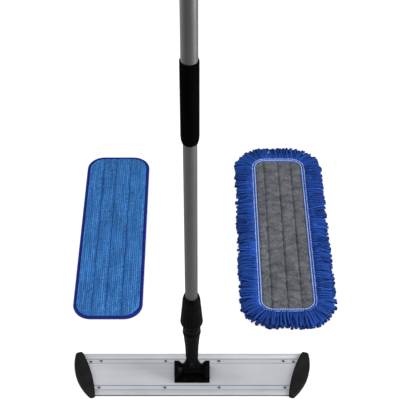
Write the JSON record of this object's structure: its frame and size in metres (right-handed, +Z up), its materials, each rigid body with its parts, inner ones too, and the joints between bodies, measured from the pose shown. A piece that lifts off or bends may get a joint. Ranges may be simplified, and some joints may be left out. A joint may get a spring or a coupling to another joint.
{
  "type": "flat mop",
  "caption": "Flat mop with an aluminium frame on a two-way swivel, a telescopic twist-lock handle, and a bound wet pad and a fringed dust pad beside it.",
  "frame": {"origin": "on the floor, under the axis of the upright handle, at the middle of the frame", "axes": "+Z up along the handle, +X along the frame, +Y towards the frame's longer, rear edge"},
  "size_m": [0.532, 0.684, 1.384],
  "materials": {
    "aluminium_plate": "satin anodised",
    "end_cap_plastic": "finely textured",
    "black_plastic": "satin moulded",
    "upper_tube_metal": "satin lacquered grey",
    "lower_tube_metal": "satin lacquered grey",
    "grip_rubber": "matt",
    "pin_steel": "satin",
    "natural_nylon": "natural",
    "hook_tape": "woven hooks",
    "loop_backing": "brushed loops",
    "pad_foam": "open foam",
    "blue_microfibre": "looped",
    "navy_binding": "woven tape",
    "grey_melange": "quilted",
    "blue_band": "stitched",
    "blue_yarn": "twisted loops"
  },
  "bodies": {
    "frame": {"frame_plate": "aluminium_plate", "end_cap_left": "end_cap_plastic", "end_cap_right": "end_cap_plastic", "cap_rivets": "pin_steel", "hook_strip_front_left": "hook_tape", "hook_strip_front_right": "hook_tape", "hook_strip_rear_left": "hook_tape", "hook_strip_rear_right": "hook_tape", "strip_rivets": "pin_steel", "swivel_bracket": "black_plastic", "bracket_screws": "pin_steel", "tilt_pin": "pin_steel"},
    "cross": {"swivel_cross": "black_plastic"},
    "neck": {"neck": "black_plastic", "swing_pin": "pin_steel", "collet": "natural_nylon"},
    "collar": {"collar_nut": "black_plastic"},
    "lower_pole": {"lower_tube": "lower_tube_metal", "tube_foot": "black_plastic", "lock_core": "natural_nylon", "core_pin": "pin_steel"},
    "lock": {"lock_ring": "natural_nylon", "lock_cone": "black_plastic"},
    "upper_pole": {"upper_tube": "upper_tube_metal", "guide_bush": "natural_nylon", "mid_grip": "grip_rubber", "top_grip": "grip_rubber", "top_cap": "black_plastic"},
    "wet_pad": {"wet_pad_backing": "loop_backing", "wet_pad_core": "pad_foam", "wet_pad_face": "blue_microfibre", "wet_pad_binding": "navy_binding"},
    "dust_pad": {"dust_pad_yarn": "blue_yarn", "dust_pad_core": "pad_foam", "dust_pad_panel": "grey_melange", "dust_pad_band": "blue_band", "dust_pad_fringe": "blue_yarn"}
  },
  "joints": [
    {"name": "handle_tilt", "type": "hinge", "parent": "frame", "child": "cross", "pos_m": [0, 0, 0.024], "axis": [1, 0, 0], "range_deg": [-85, 85]},
    {"name": "handle_swing", "type": "hinge", "parent": "cross", "child": "neck", "pos_m": [0, 0, 0.05], "axis": [0, 1, 0], "range_deg": [-48, 48]},
    {"name": "collar_turn", "type": "hinge", "parent": "neck", "child": "collar", "pos_m": [0, 0, 0.2], "axis": [0, 0, 1], "range_deg": [0, 180]},
    {"name": "handle_release", "type": "slide", "parent": "neck", "child": "lower_pole", "axis": [0, 0, 1], "range_m": [0, 0.07]},
    {"name": "lock_twist", "type": "hinge", "parent": "lower_pole", "child": "lock", "pos_m": [0, 0, 0.98], "axis": [0, 0, 1], "range_deg": [-90, 90]},
    {"name": "telescope", "type": "slide", "parent": "lock", "child": "upper_pole", "axis": [0, 0, 1], "range_m": [-0.31, 0.27]},
    {"name": "wet_pad_slide", "type": "slide", "parent": "frame", "child": "wet_pad", "axis": [-1, 0, 0], "range_m": [0, 0.25]},
    {"name": "dust_pad_slide", "type": "slide", "parent": "frame", "child": "dust_pad", "axis": [1, 0, 0], "range_m": [0, 0.25]}
  ]
}
